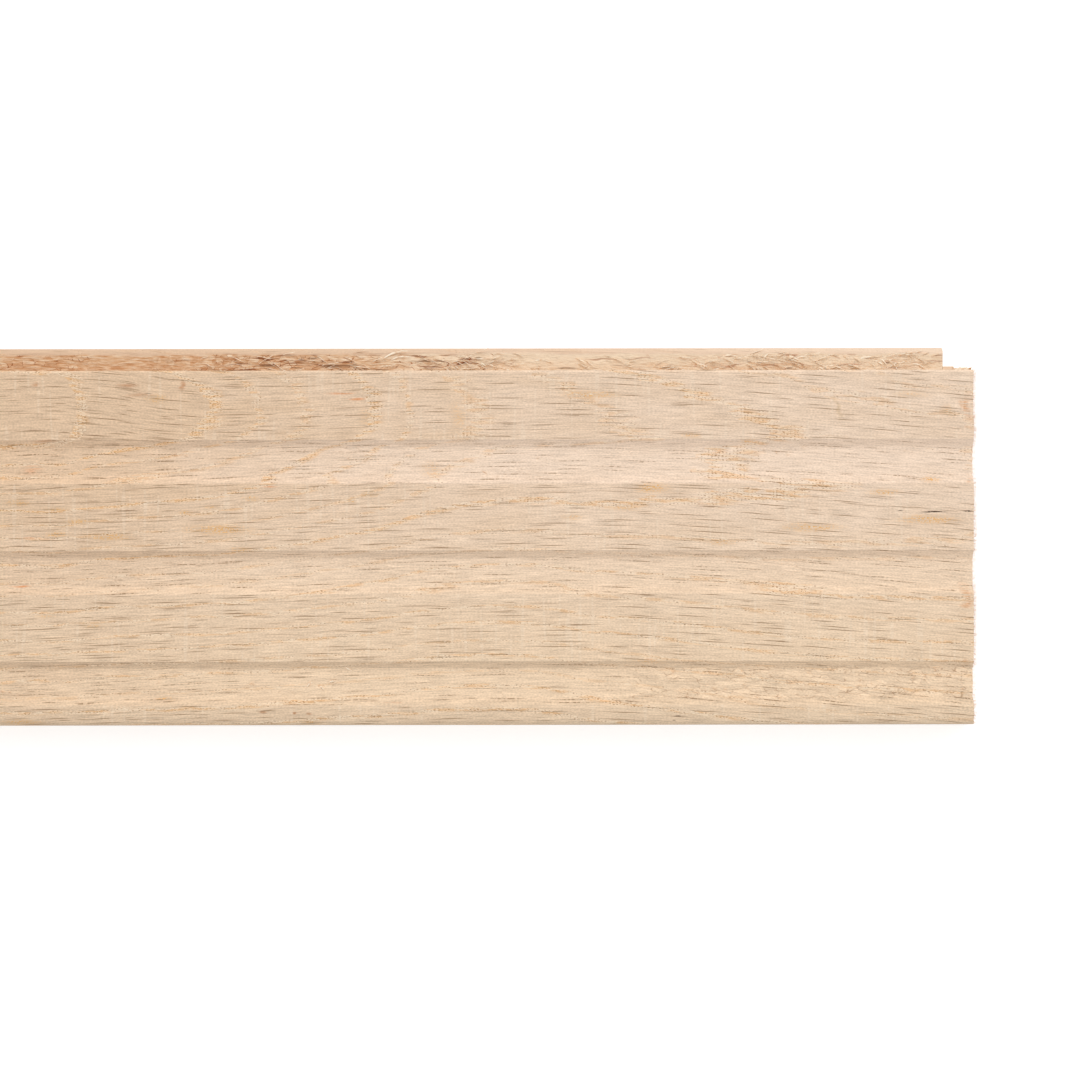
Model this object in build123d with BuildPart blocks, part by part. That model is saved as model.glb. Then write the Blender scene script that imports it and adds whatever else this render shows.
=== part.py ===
# Solid oak floorboard, tongued and grooved along both edges and across both ends.
#
# It lies with its wear face down and its relieved back up. X runs along the grain, from the
# tongued end to the grooved end. Y runs across the board, from the groove to the tongue.
# The origin is in the middle of the underside of the whole board, tongues included.
#
# The solid is made as a moulder and an end matcher make the board. They start with a planed
# blank. One outline cuts each tongue and one cuts each groove, first along an edge and then
# across an end, so the tongues meet round their corner and the grooves run into each other.

import os

from build123d import *

# Blank, mm
face_length = 914.4        # wear face, from the tongued end to the grooved end
face_width = 127.0         # wear face, from the groove to the tongue
thickness = 19.05

# Tongue
wear_layer = 7.2           # wood between the wear face and the tongue
tongue_thickness = 6.35
tongue_reach = 6.75        # from the edge of the wear face to the tip
shoulder_setback = 1.5     # the back stops this far inside the edge of the wear face
nose_back_radius = 2.2     # rounding of the tip towards the back
nose_wear_radius = 0.9     # rounding of the tip towards the wear face

# Groove
groove_depth = 7.5         # from the edge of the wear face
groove_wear_play = 0.1     # between a neighbour's tongue and the groove, towards the wear face
groove_back_play = 0.3     # the same towards the back
groove_root_radius = 0.8
groove_mouth_chamfer = 0.5
side_lip_setback = 0.8     # the back stops this far inside the edge of the wear face
end_lip_setback = 1.6

# Relief channels in the back
channel_count = 3
channel_width = 15.3       # at the back's surface
channel_depth = 2.4
channel_wall_angle = 42.0  # slope of each wall, degrees from the back's surface
channel_corner_radius = 1.4
channel_pitch = 38.9
first_land = 24.4          # from the back's tongued edge to the first channel

# Long edges of the back, and the notch in the long tongue
tongued_arris = 0.8        # chamfer above the tongue
grooved_arris = 2.0        # rounding above the groove
tongue_notch = 11.5        # the long tongue stops this far short of the grooved end

# Sizes that follow
overall_length = face_length + tongue_reach
overall_width = face_width + tongue_reach
tongue_top = wear_layer + tongue_thickness
groove_base = wear_layer - groove_wear_play
groove_top = tongue_top + groove_back_play
overrun = thickness        # how far a cut passes beyond the wood

# Edges of the wear face
tongued_end = Vector(tongue_reach - overall_length / 2, 0, 0)
grooved_end = Vector(overall_length / 2, 0, 0)
tongued_edge = Vector(0, overall_width / 2 - tongue_reach, 0)
grooved_edge = Vector(0, -overall_width / 2, 0)


def across(edge, outwards):
    """The plane that cuts an edge across: its x points out of the wood and its y up."""
    return Plane(origin=edge, x_dir=outwards, z_dir=outwards.cross(Vector(0, 0, 1)))


def tongue_outline(plane):
    """What is cut from an edge of the blank so that a wear layer and a tongue stay."""
    with BuildSketch(plane) as outline:
        with BuildLine():
            Polyline(
                (-shoulder_setback, thickness + overrun),
                (-shoulder_setback, tongue_top),
                (tongue_reach, tongue_top),
                (tongue_reach, wear_layer),
                (0, wear_layer),
                (0, -overrun),
                (tongue_reach + overrun, -overrun),
                (tongue_reach + overrun, thickness + overrun),
                close=True,
            )
        make_face()
        tip = outline.vertices().group_by(Axis.X)[-2].sort_by(Axis.Y)
        fillet(tip[-1], nose_back_radius)
        tip = outline.vertices().group_by(Axis.X)[-2].sort_by(Axis.Y)
        fillet(tip[0], nose_wear_radius)
    return outline.sketch


def groove_outline(plane, lip_setback):
    """What is cut from an edge of the blank: the slot, and the setback of the back lip."""
    with BuildSketch(plane) as outline:
        with BuildLine():
            Polyline(
                (-lip_setback, thickness + overrun),
                (-lip_setback, groove_top),
                (-groove_depth, groove_top),
                (-groove_depth, groove_base),
                (0, groove_base),
                (0, -overrun),
                (overrun, -overrun),
                (overrun, thickness + overrun),
                close=True,
            )
        make_face()
        mouth = outline.vertices().group_by(Axis.X)
        chamfer([mouth[1].sort_by(Axis.Y)[0], mouth[2].sort_by(Axis.Y)[-1]], groove_mouth_chamfer)
        fillet(outline.vertices().group_by(Axis.X)[0], groove_root_radius)
    return outline.sketch


with BuildPart() as floorboard:
    Box(overall_length, overall_width, thickness, align=(Align.CENTER, Align.CENTER, Align.MIN))

    # Along the board: tongue, groove and the back's long arrises
    for outline in (
        tongue_outline(across(tongued_edge, Vector(0, 1, 0))),
        groove_outline(across(grooved_edge, Vector(0, -1, 0)), side_lip_setback),
    ):
        extrude(outline, amount=overall_length, both=True, mode=Mode.SUBTRACT)
    back = floorboard.faces().sort_by(Axis.Z)[-1]
    back_edges = back.edges().filter_by(Axis.X).sort_by(Axis.Y)
    chamfer(back_edges[-1], tongued_arris)
    fillet(back_edges[0], grooved_arris)

    # Along the board: relief channels, counted from the tongued edge of the back
    with BuildSketch(Plane.YZ) as channels:
        first_channel = tongued_edge.Y - shoulder_setback - first_land - channel_width / 2
        with Locations((first_channel, thickness)):
            with GridLocations(
                channel_pitch, 0, channel_count, 1, align=(Align.MAX, Align.CENTER)
            ):
                Trapezoid(
                    channel_width,
                    channel_depth,
                    channel_wall_angle,
                    rotation=180,
                    align=(Align.CENTER, Align.MIN),
                )
        fillet(channels.vertices().group_by(Axis.Y)[0], channel_corner_radius)
    extrude(amount=overall_length, both=True, mode=Mode.SUBTRACT)

    # Across the ends: tongue, groove and the notch in the long tongue
    for outline in (
        tongue_outline(across(tongued_end, Vector(-1, 0, 0))),
        groove_outline(across(grooved_end, Vector(1, 0, 0)), end_lip_setback),
    ):
        extrude(outline, amount=overall_width, both=True, mode=Mode.SUBTRACT)
    with Locations((grooved_end.X - tongue_notch, tongued_edge.Y, 0)):
        Box(
            tongue_notch,
            tongue_reach,
            thickness,
            align=(Align.MIN, Align.MIN, Align.MIN),
            mode=Mode.SUBTRACT,
        )

floorboard.part.label = "floorboard"

os.makedirs("parts", exist_ok=True)
export_step(floorboard.part, "parts/floorboard.step")
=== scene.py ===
import math

import bpy
import numpy as np
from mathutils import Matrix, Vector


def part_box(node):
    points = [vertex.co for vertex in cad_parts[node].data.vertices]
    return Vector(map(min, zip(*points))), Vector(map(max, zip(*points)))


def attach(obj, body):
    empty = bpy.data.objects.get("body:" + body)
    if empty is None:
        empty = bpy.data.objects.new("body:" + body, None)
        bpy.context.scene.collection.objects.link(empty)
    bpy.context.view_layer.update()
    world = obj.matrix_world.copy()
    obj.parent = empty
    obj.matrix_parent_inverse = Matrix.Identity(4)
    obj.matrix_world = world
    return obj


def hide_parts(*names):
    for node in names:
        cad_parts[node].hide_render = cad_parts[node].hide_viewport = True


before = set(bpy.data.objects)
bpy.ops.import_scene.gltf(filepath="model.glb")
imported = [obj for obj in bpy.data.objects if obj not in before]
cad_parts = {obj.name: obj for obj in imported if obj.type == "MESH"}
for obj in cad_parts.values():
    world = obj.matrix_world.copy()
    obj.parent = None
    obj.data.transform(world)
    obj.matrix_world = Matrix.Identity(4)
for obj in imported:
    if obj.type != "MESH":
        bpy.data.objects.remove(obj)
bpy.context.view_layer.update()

print("frame loaded")

# One unfinished oak floorboard, back up. Places are in millimetres on the board's own axes:
# x along the grain, y across towards the tongue, z up from the wear face.

mm = 0.001
low, high = [[v / mm for v in corner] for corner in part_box("floorboard")]

milling = {                     # the section that the moulder's knives leave
    "tongueReach": 6.75,
    "wearLayer": 7.2,
    "tongueTop": 13.55,
    "shoulderSetback": 1.5,
    "noseBack": 2.2,
    "noseWear": 0.9,
    "tongueNotch": 11.5,
    "grooveBase": 7.1,
    "grooveTop": 13.85,
    "grooveDepth": 7.5,
    "grooveRoot": 0.8,
    "grooveMouth": 0.5,
    "sideLip": 0.8,
    "endLip": 1.6,
    "channels": 3,
    "channelWidth": 15.3,
    "channelDepth": 2.4,
    "channelWall": 2.67,        # as seen from above
    "channelPitch": 38.9,
    "firstLand": 24.4,
    "tonguedArris": 0.8,
    "groovedArris": 2.0,
}

tip = high[1]
wearTonguedEnd = low[0] + milling["tongueReach"]
backTonguedEnd = wearTonguedEnd + milling["shoulderSetback"]
wearGroovedEnd = high[0]
backGroovedEnd = high[0] - milling["endLip"]
endGrooveRoot = high[0] - milling["grooveDepth"]
tongueStop = high[0] - milling["tongueNotch"]
wearTonguedEdge = tip - milling["tongueReach"]
shoulder = wearTonguedEdge - milling["shoulderSetback"]
wearGroovedEdge = low[1]
backGroovedEdge = low[1] + milling["sideLip"]
sideGrooveRoot = low[1] + milling["grooveDepth"]
back = high[2]
halfChannel = milling["channelWidth"] / 2
channelMiddles = [
    shoulder - milling["firstLand"] - halfChannel - n * milling["channelPitch"]
    for n in range(milling["channels"])
]


# Camera over the grooved end, as high as the photo was taken from

photo = {
    "pixels": 1080,
    "pixelsPerMm": 2.85,        # at the height of the back
    "centreX": 306.65,          # the board's place under the middle of the picture
    "centreY": -1.02,
    "height": 763.0,            # above the back
    "roll": -0.085,             # degrees
    "sensor": 36.0,
}


def addObject(name, data):
    thing = bpy.data.objects.new(name, data)
    bpy.context.collection.objects.link(thing)
    return thing


def makeCamera():
    lens = photo["sensor"] * photo["height"] * photo["pixelsPerMm"] / photo["pixels"]
    data = bpy.data.cameras.new("camera")
    data.sensor_width = photo["sensor"]
    data.lens = lens
    data.clip_start = 0.01
    camera = addObject("camera", data)
    camera.location = (photo["centreX"] * mm, photo["centreY"] * mm, (back + photo["height"]) * mm)
    camera.rotation_euler = (0, 0, math.radians(photo["roll"]))
    bpy.context.scene.camera = camera


makeCamera()
print("camera placed")


# Node trees are written as sums: a Field is one socket, and arithmetic on it adds Math nodes

class Field:
    def __init__(self, tree, socket):
        self.tree = tree
        self.socket = socket

    def __add__(self, other):
        return calc("ADD", self, other)

    def __sub__(self, other):
        return calc("SUBTRACT", self, other)

    def __rsub__(self, other):
        return calc("SUBTRACT", other, self)

    def __mul__(self, other):
        return calc("MULTIPLY", self, other)

    def __truediv__(self, other):
        return calc("DIVIDE", self, other)

    def __abs__(self):
        return calc("ABSOLUTE", self)

    __radd__ = __add__
    __rmul__ = __mul__


def plug(tree, socket, value):
    if isinstance(value, Field):
        tree.links.new(value.socket, socket)
    else:
        socket.default_value = value


def addNode(tree, kind, inputs=(), **settings):
    node = tree.nodes.new(kind)
    for name, value in settings.items():
        setattr(node, name, value)
    for name, value in dict(inputs).items():
        plug(tree, node.inputs[name], value)
    return node


def calc(operation, *values):
    tree = next(v.tree for v in values if isinstance(v, Field))
    node = addNode(tree, "ShaderNodeMath", enumerate(values), operation=operation)
    return Field(tree, node.outputs[0])


def least(a, b):
    return calc("MINIMUM", a, b)


def most(a, b):
    return calc("MAXIMUM", a, b)


def rise(value, start, stop):   # 0 below start, 1 above stop, smooth between; start may be the larger
    node = addNode(
        value.tree, "ShaderNodeMapRange", {0: value, 1: start, 2: stop},
        interpolation_type="SMOOTHSTEP", clamp=True,
    )
    return Field(value.tree, node.outputs[0])


def place(x, y, z=0.0):
    tree = next(v.tree for v in (x, y, z) if isinstance(v, Field))
    return Field(tree, addNode(tree, "ShaderNodeCombineXYZ", {0: x, 1: y, 2: z}).outputs[0])


def cloud(where, detail=2.0, roughness=0.5):
    node = addNode(
        where.tree, "ShaderNodeTexNoise",
        {"Vector": where, "Scale": 1.0, "Detail": detail, "Roughness": roughness},
        noise_dimensions="3D",
    )
    return Field(where.tree, node.outputs[0])


def speckle(where):             # one random number for each whole step of the place
    node = addNode(where.tree, "ShaderNodeTexWhiteNoise", {"Vector": where}, noise_dimensions="3D")
    return Field(where.tree, node.outputs[0])


def cells(where, feature="F1"):  # scattered cells: distance, three random numbers, centre
    return addNode(
        where.tree, "ShaderNodeTexVoronoi", {"Vector": where, "Scale": 1.0},
        voronoi_dimensions="2D", feature=feature,
    )


def parts(tree, socket):        # the three numbers in a vector or colour
    node = addNode(tree, "ShaderNodeSeparateXYZ", {0: Field(tree, socket)})
    return [Field(tree, out) for out in node.outputs]


def curveOf(value, points):     # a value read off a curve through (place, height) points
    starts, heights = zip(*points)
    tree = value.tree
    node = addNode(tree, "ShaderNodeFloatCurve")
    curve = node.mapping.curves[0]
    while len(curve.points) < len(points):
        curve.points.new(0.5, 0.5)
    bottom, top = min(heights), max(heights)
    for point, (start, height) in zip(curve.points, points):
        point.location = (
            (start - starts[0]) / (starts[-1] - starts[0]), (height - bottom) / (top - bottom),
        )
    node.mapping.update()
    plug(tree, node.inputs["Value"], (value - starts[0]) / (starts[-1] - starts[0]))
    return Field(tree, node.outputs[0]) * (top - bottom) + bottom


def between(value, start, stop, soft):
    return rise(value, start - soft, start + soft) * rise(value, stop + soft, stop - soft)


# How the tree grew and how the knives tore it, as fields that the shape and the wood both read.
# Below, p holds places on the board, g the grain and t the torn wood.

growth = {
    "yearEnds": [               # radius at which each year's growth ended
        0, 9.5, 19.8, 24.5, 29.2, 35.8, 40.4, 45.2, 49.6, 54.4, 60.5, 65.0, 70.5, 75.0, 80.5,
        85.2, 90.5, 95.0, 101.0, 106.0, 112.0, 118.0,
    ],
    "pithHeight": [             # from the back up to the pith line, along the board
        (-461, 34), (-330, 27), (-180, 15), (-40, 7.5), (70, 4), (128, 4.5), (143.7, 9.5), (154, 14),
        (190.4, 19.8), (206.9, 24.5), (222.7, 29.2), (247.2, 35.8), (281.6, 45.2), (325, 49), (370, 52.5),
        (461, 58),
    ],
    "pithLine": [               # where it lies across the board
        (-461, 6), (-250, 28), (-60, 40), (117, 45), (284, 43), (325, 37), (363, 31), (400, 25), (461, 19),
    ],
    "fibreDrift": [             # how far the fibres have wandered across the board
        (-461, -7), (-300, -2), (-120, 2), (40, 4.2), (117, 3), (250, -0.6), (310, -1.2), (350, 0),
        (400, 3), (461, 7.7),
    ],
    "knotDrift": [              # and how they swing past the old knot, near the tongue only
        (-461, 0), (0, -2), (117, -5.2), (146, -4), (182, 0.9), (204, 2.1), (262, 1.9), (461, 1.9),
    ],
    "bluntBefore": (195.0, 165.0),  # short of here the rings nearest the pith are drawn out
    "blunting": 0.45,
}

tearOut = {
    "flank": [                  # how badly the tongue's flank is torn, along the board
        (-461, 0.35), (-380, 0.8), (-300, 0.3), (-210, 0.9), (-120, 0.45), (-20, 0.75), (60, 0.35),
        (117, 0.75), (146, 0.7), (152, 0.12), (163, 0.12), (168, 0.5), (180, 0.5), (188, 1.0), (222, 1.0),
        (240, 0.6), (262, 0.7), (282, 0.85), (300, 0.3), (325, 0.25), (345, 0.5), (368, 0.65), (400, 0.75),
        (432, 0.75), (461, 0.6),
    ],
    "rifts": [                  # how many dark lengthwise rifts it has
        (-461, 0.3), (-200, 0.45), (60, 0.2), (117, 0.12), (180, 0.15), (192, 0.7), (226, 0.85), (238, 0.4),
        (250, 0.8), (276, 0.8), (290, 0.3), (305, 0.15), (328, 0.35), (368, 0.35), (400, 0.3), (461, 0.3),
    ],
    "scales": [                 # scales counted along the flank: short ones where this climbs fast
        (-461, 0), (117, 150), (165, 170), (180, 180), (262, 214), (461, 238),
    ],
    "flankDepth": 0.7,
    "channelDepth": 0.42,
    "roughFrom": 338.0,         # the third channel is torn worst from here to the grooved end
    "endDepth": 0.28,
}


def boardPlaces(position):
    x, y, z = [part * (1 / mm) for part in parts(position.tree, position.socket)]
    slow = cloud(place(x * 0.011, y * 0.03, z * 0.03), 2.0) - 0.5
    quick = cloud(place(x * 0.07, y * 0.16, z * 0.16), 3.0) - 0.5
    return {"x": x, "y": y, "z": z, "slow": slow, "quick": quick}


def ringField(p):               # growth rings round the bent pith line, counted from the pith
    up = curveOf(p["x"], growth["pithHeight"]) + (back - p["z"]) + p["quick"] * 3.4
    side = p["y"] - curveOf(p["x"], growth["pithLine"]) + p["slow"] * 3.0 + p["quick"] * 3.0
    blunt = rise(p["x"], *growth["bluntBefore"]) * rise(abs(side), 22.0, 8.0) * growth["blunting"]
    side = side * (1 - blunt)
    radius = calc("SQRT", up * up + side * side)
    count = curveOf(radius, [(end, year) for year, end in enumerate(growth["yearEnds"])])
    return {"radius": radius, "count": count, "up": up, "side": side}


def channelField(p, inset=0.0):  # 1 on the floors and walls of the channels
    inside = None
    for middle in channelMiddles:
        one = rise(abs(p["y"] - middle), halfChannel - inset + 0.3, halfChannel - inset - 0.3)
        inside = one if inside is None else most(inside, one)
    return inside * rise(p["z"], back - 4.0, back - 3.6)


def flankField(p):              # the torn flank of the long tongue, from the shoulder to the nose
    ragged = tip - 2.3 + p["quick"] * 3.6
    strip = rise(p["y"], shoulder - 0.1, shoulder + 0.2) * rise(p["y"] - ragged, 0.5, -0.5)
    strip = strip * rise(p["x"], tongueStop + 0.2, tongueStop - 0.2)
    return strip * rise(p["z"], 11.0, 11.6) * rise(p["x"], backTonguedEnd, backTonguedEnd + 1.0)


def spindles(p, across, length, spacing, reach, width, seed):   # thin lenses along the grain
    tree = p["x"].tree
    where = place(p["x"] / length + seed, across / spacing + seed * 3.1)
    node = cells(where)
    here, centre = parts(tree, where.socket), parts(tree, node.outputs["Position"])
    luck, size, _ = parts(tree, node.outputs["Color"])
    along = abs(here[0] - centre[0]) / (size * 0.6 + 0.5)
    beside = abs(here[1] - centre[1])
    taper = 1 - rise(along, 0.0, reach)
    return rise(beside, taper * width, taper * width * 0.45) * rise(along, reach, reach * 0.85), luck


def tearFields(p):              # scales with cracks and painted shade under their lower edges, lengthwise rifts, and raised fibres
    warp = p["quick"] * 2.0
    onTongue = rise(p["y"], 50.0, 54.0)
    scales = curveOf(p["x"], tearOut["scales"]) * onTongue + p["x"] * (1 - onTongue) / 4.6
    where = place(scales + warp, p["y"] / 1.7 + p["x"] * 0.1 + warp)
    tree = p["x"].tree
    edge = Field(tree, cells(where, "DISTANCE_TO_EDGE").outputs["Distance"])
    middle = cells(where)
    lift, hue, _ = parts(tree, middle.outputs["Color"])
    below = parts(tree, middle.outputs["Position"])[1] - parts(tree, where.socket)[1]
    torn = flankField(p) * curveOf(p["x"], tearOut["flank"])
    patchy = cloud(place(p["x"] * 0.12, p["y"] * 0.45, 4.0), 2.0)
    # cracks between the scales, strongest on each scale's lower side as painted shade under its lifted edge
    cracksAndUnderShade = rise(edge, 0.12, 0.015) * (rise(below, -0.1, 0.35) * 0.85 + 0.15) * rise(patchy, 0.4, 0.58)
    rift, luck = spindles(p, p["y"] + p["quick"] * 5.0, 15.0, 2.3, 0.5, 0.17, 3.0)
    often = curveOf(p["x"], tearOut["rifts"])
    rifts = rift * rise(luck + often, 1.0, 1.12)
    strands = cloud(place(p["x"] * 0.2, p["y"] * 2.0 + p["quick"] * 4.0, 4.0), 3.0, 0.68)
    return {
        "flank": flankField(p),
        "torn": torn,
        "cracksAndUnderShade": cracksAndUnderShade,
        "rifts": rifts,
        "lift": lift,
        "hue": hue,
        "strands": strands,
    }


def roughField(p):              # lifted grain on the channel floors, worst in the third near the end
    third = channelMiddles[2] + halfChannel
    start = tearOut["roughFrom"]
    worst = rise(p["x"], start - 14, start + 10) * rise(p["y"], third, third - 2)
    patches = rise(cloud(place(p["x"] * 0.03, p["y"] * 0.11, 7.0), 2.0), 0.48, 0.62)
    return channelField(p, 1.9) * (0.12 + patches * 0.5 + worst * 0.8)


print("fields ready")


# The skin: a grid of cells, shut wherever wood meets air, then rounded as the knives round it

skinGrid = {
    "seenFrom": 112.0,          # the photographed stretch is cut finer
    "seenStep": 0.75,
    "farStep": 4.4,
    "endStep": 0.5,
    "noseStep": 0.44,
    "mouthStep": 0.5,
    "rootStep": 0.4,
    "landStep": 3.0,
    "floorStep": 1.0,
    "wallStep": 0.68,
    "tongueStep": 0.55,
}


def cutUp(stops):               # (place, step from here on) pairs to lines
    lines = []
    for (start, step), (stop, _) in zip(stops, stops[1:]):
        count = max(1, round((stop - start) / step))
        lines += [start + (stop - start) * n / count for n in range(count)]
    return np.array(lines + [stops[-1][0]])


def gridLines():
    g, m = skinGrid, milling
    alongX = cutUp([
        (low[0], g["noseStep"]), (low[0] + m["noseBack"], 1.1),
        (wearTonguedEnd, 0.75), (backTonguedEnd, g["farStep"]),
        (g["seenFrom"], g["seenStep"]), (tongueStop, 0.8),
        (endGrooveRoot, g["rootStep"]), (endGrooveRoot + m["grooveRoot"], g["endStep"]),
        (backGroovedEnd - m["grooveMouth"], g["mouthStep"]), (backGroovedEnd, 0.6),
        (wearGroovedEnd - m["grooveMouth"], g["mouthStep"]), (wearGroovedEnd, 1),
    ])
    stops = [
        (wearGroovedEdge, g["mouthStep"]), (wearGroovedEdge + m["grooveMouth"], 0.3),
        (backGroovedEdge, g["mouthStep"]), (backGroovedEdge + m["grooveMouth"], 0.5),
        (backGroovedEdge + m["groovedArris"], 1.3),
        (sideGrooveRoot - m["grooveRoot"], 0.8), (sideGrooveRoot, 0.5),
    ]
    for middle in reversed(channelMiddles):
        start, stop = middle - halfChannel, middle + halfChannel
        stops += [
            (start, g["wallStep"]), (start + m["channelWall"], g["floorStep"]),
            (stop - m["channelWall"], g["wallStep"]), (stop, g["landStep"]),
        ]
    stops += [
        (shoulder - m["tonguedArris"], 0.4), (shoulder, 0.5), (wearTonguedEdge, g["tongueStep"]),
        (tip - m["noseBack"], g["noseStep"]), (tip, 1),
    ]
    alongZ = [low[2], m["grooveBase"], m["wearLayer"], m["tongueTop"], m["grooveTop"], 16.4, back]
    return alongX, cutUp(stops), np.array(alongZ)


def woodCells(alongX, alongY, alongZ):
    x, y, z = np.meshgrid(*[(a[1:] + a[:-1]) / 2 for a in (alongX, alongY, alongZ)], indexing="ij")
    inGroove = (y < sideGrooveRoot) | (x > endGrooveRoot)
    inWear = (x > wearTonguedEnd) & (y < wearTonguedEdge)
    inTongue = (y < wearTonguedEdge) | (x < tongueStop)
    inBack = (x > backTonguedEnd) & (x < backGroovedEnd) & (y > backGroovedEdge) & (y < shoulder)
    m = milling
    return (
        (z < m["grooveBase"]) & inWear
        | (z > m["grooveBase"]) & (z < m["wearLayer"]) & inWear & ~inGroove
        | (z > m["wearLayer"]) & (z < m["tongueTop"]) & inTongue & ~inGroove
        | (z > m["tongueTop"]) & (z < m["grooveTop"]) & inBack & ~inGroove
        | (z > m["grooveTop"]) & inBack
    )


def shutCells(wood):            # faces between wood and air, all but the wear face
    faces = []
    padded = np.pad(wood, 1).astype(np.int8)
    for axis in range(3):
        keep = [slice(1, -1)] * 3
        keep[axis] = slice(None)
        change = np.diff(padded, axis=axis)[tuple(keep)]
        if axis == 2:
            change[:, :, 0] = 0
        for sign in (1, -1):
            corner = np.argwhere(change == sign)
            b, c = np.zeros(3, int), np.zeros(3, int)
            b[(axis + 1) % 3] = 1
            c[(axis + 2) % 3] = 1
            ring = [corner, corner + b, corner + b + c, corner + c]
            faces.append(np.stack(ring[::-1] if sign == 1 else ring, axis=1))
    return np.concatenate(faces)


def fallAway(distance, radius):  # how far a rounded edge has fallen, at a distance in from its tip
    inside = np.clip(radius - distance, 0, radius)
    return radius - np.sqrt(radius**2 - inside**2)


def roundOver(x, y, z):
    m = milling

    def near(level):
        return np.abs(z - level) < 1e-6

    fromTip = np.minimum(x - low[0], tip - y)
    shaped = z.copy()

    onBack = near(back)
    depth = m["channelDepth"]
    for middle in channelMiddles:
        wall = np.clip((halfChannel - np.abs(y - middle)) / m["channelWall"], 0, 3) * depth
        floor = (wall + depth - np.sqrt((wall - depth) ** 2 + 0.3)) / 2
        shaped -= np.where(onBack & (wall > 0), np.clip(floor, 0, depth), 0)
    arris = np.clip(m["tonguedArris"] - (shoulder - y), 0, None)
    arris += fallAway(np.maximum(y - backGroovedEdge, 0), m["groovedArris"])
    shaped -= np.where(onBack, arris, 0)

    outside = (y > shoulder) | (x < backTonguedEnd)
    shaped -= np.where(near(m["tongueTop"]) & outside, fallAway(fromTip, m["noseBack"]), 0)
    outside = (y > wearTonguedEdge) | (x < wearTonguedEnd)
    shaped += np.where(near(m["wearLayer"]) & outside, fallAway(fromTip, m["noseWear"]), 0)

    fromRoot = np.maximum(sideGrooveRoot - y, x - endGrooveRoot)
    inGroove = (fromRoot > -1e-6) & (x > backTonguedEnd + 1e-6)
    fall = fallAway(fromRoot, m["grooveRoot"])
    toLip = np.minimum(y - backGroovedEdge, backGroovedEnd - x)
    toWear = np.minimum(y - wearGroovedEdge, wearGroovedEnd - x)
    mouth = m["grooveMouth"]
    shaped += np.where(near(m["grooveTop"]) & inGroove, np.clip(mouth - toLip, 0, mouth) - fall, 0)
    shaped += np.where(near(m["grooveBase"]) & inGroove, fall - np.clip(mouth - toWear, 0, mouth), 0)
    middle = (m["grooveTop"] + m["grooveBase"]) / 2
    squeeze = 1 - 2 * m["grooveRoot"] / (m["grooveTop"] - m["grooveBase"])
    onRoot = inGroove & (np.abs(fromRoot) < 1e-6) & (near(m["wearLayer"]) | near(m["tongueTop"]))
    return np.where(onRoot, middle + (z - middle) * squeeze, shaped)


def makeSkin():
    lines = gridLines()
    wood = woodCells(*lines)
    quads = shutCells(wood)
    size = np.array([len(a) for a in lines])
    flat = quads @ np.array([size[1] * size[2], size[2], 1])
    bottom = np.arange(size[1])[lines[1] < wearTonguedEdge + 1e-6]
    columns = np.arange(size[0])[lines[0] > wearTonguedEnd - 1e-6]
    wear = []
    for i, k in zip(columns, columns[1:]):      # rungs right across the wear face
        near = bottom if i == columns[0] else bottom[[0, -1]]
        far = bottom if k == columns[-1] else bottom[[0, -1]]
        rung = [i * size[1] + j for j in near] + [k * size[1] + j for j in far[::-1]]
        wear.append([point * size[2] for point in rung])
    used = np.unique(np.concatenate([flat.ravel(), np.concatenate(wear)]))
    i, j, k = np.unravel_index(used, size)
    x, y, z = lines[0][i], lines[1][j], lines[2][k]
    points = np.stack([x, y, roundOver(x, y, z)], axis=1) * mm
    faces = np.searchsorted(used, flat).tolist()
    faces += [np.searchsorted(used, rung).tolist() for rung in wear]
    mesh = bpy.data.meshes.new("board")
    mesh.from_pydata(points.tolist(), [], faces)
    mesh.update()
    board = addObject("board", mesh)
    print("skin:", len(points), "points,", sum(len(f) - 2 for f in faces), "triangles")
    return board


def newGeometryTree(name, sizes):   # a tree with a geometry and some named numbers going in
    tree = bpy.data.node_groups.new(name, "GeometryNodeTree")
    tree.interface.new_socket("Geometry", in_out="INPUT", socket_type="NodeSocketGeometry")
    tree.interface.new_socket("Geometry", in_out="OUTPUT", socket_type="NodeSocketGeometry")
    for label in sizes:
        tree.interface.new_socket(label, in_out="INPUT", socket_type="NodeSocketFloat")
    given = tree.nodes.new("NodeGroupInput")
    result = tree.nodes.new("NodeGroupOutput")
    return tree, {s.name: Field(tree, s) for s in given.outputs if s.name}, result.inputs[0]


def growOn(piece, tree, sizes):     # run a tree on a piece and keep the result as a plain mesh
    modifier = piece.modifiers.new(tree.name, "NODES")
    modifier.node_group = tree
    for item in tree.interface.items_tree:
        if item.in_out == "INPUT" and item.name in sizes:
            modifier[item.identifier] = sizes[item.name]
    graph = bpy.context.evaluated_depsgraph_get()
    mesh = bpy.data.meshes.new_from_object(piece.evaluated_get(graph))
    piece.modifiers.clear()
    piece.data = mesh


def shapeNode(tree, kind, inputs):       # the first thing that a new geometry node gives
    return Field(tree, addNode(tree, "GeometryNode" + kind, inputs).outputs[0])


def paintShape(tree, shape, material, result):
    painted = addNode(tree, "GeometryNodeSetMaterial", {"Geometry": shape, "Material": material})
    tree.links.new(painted.outputs[0], result)


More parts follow.
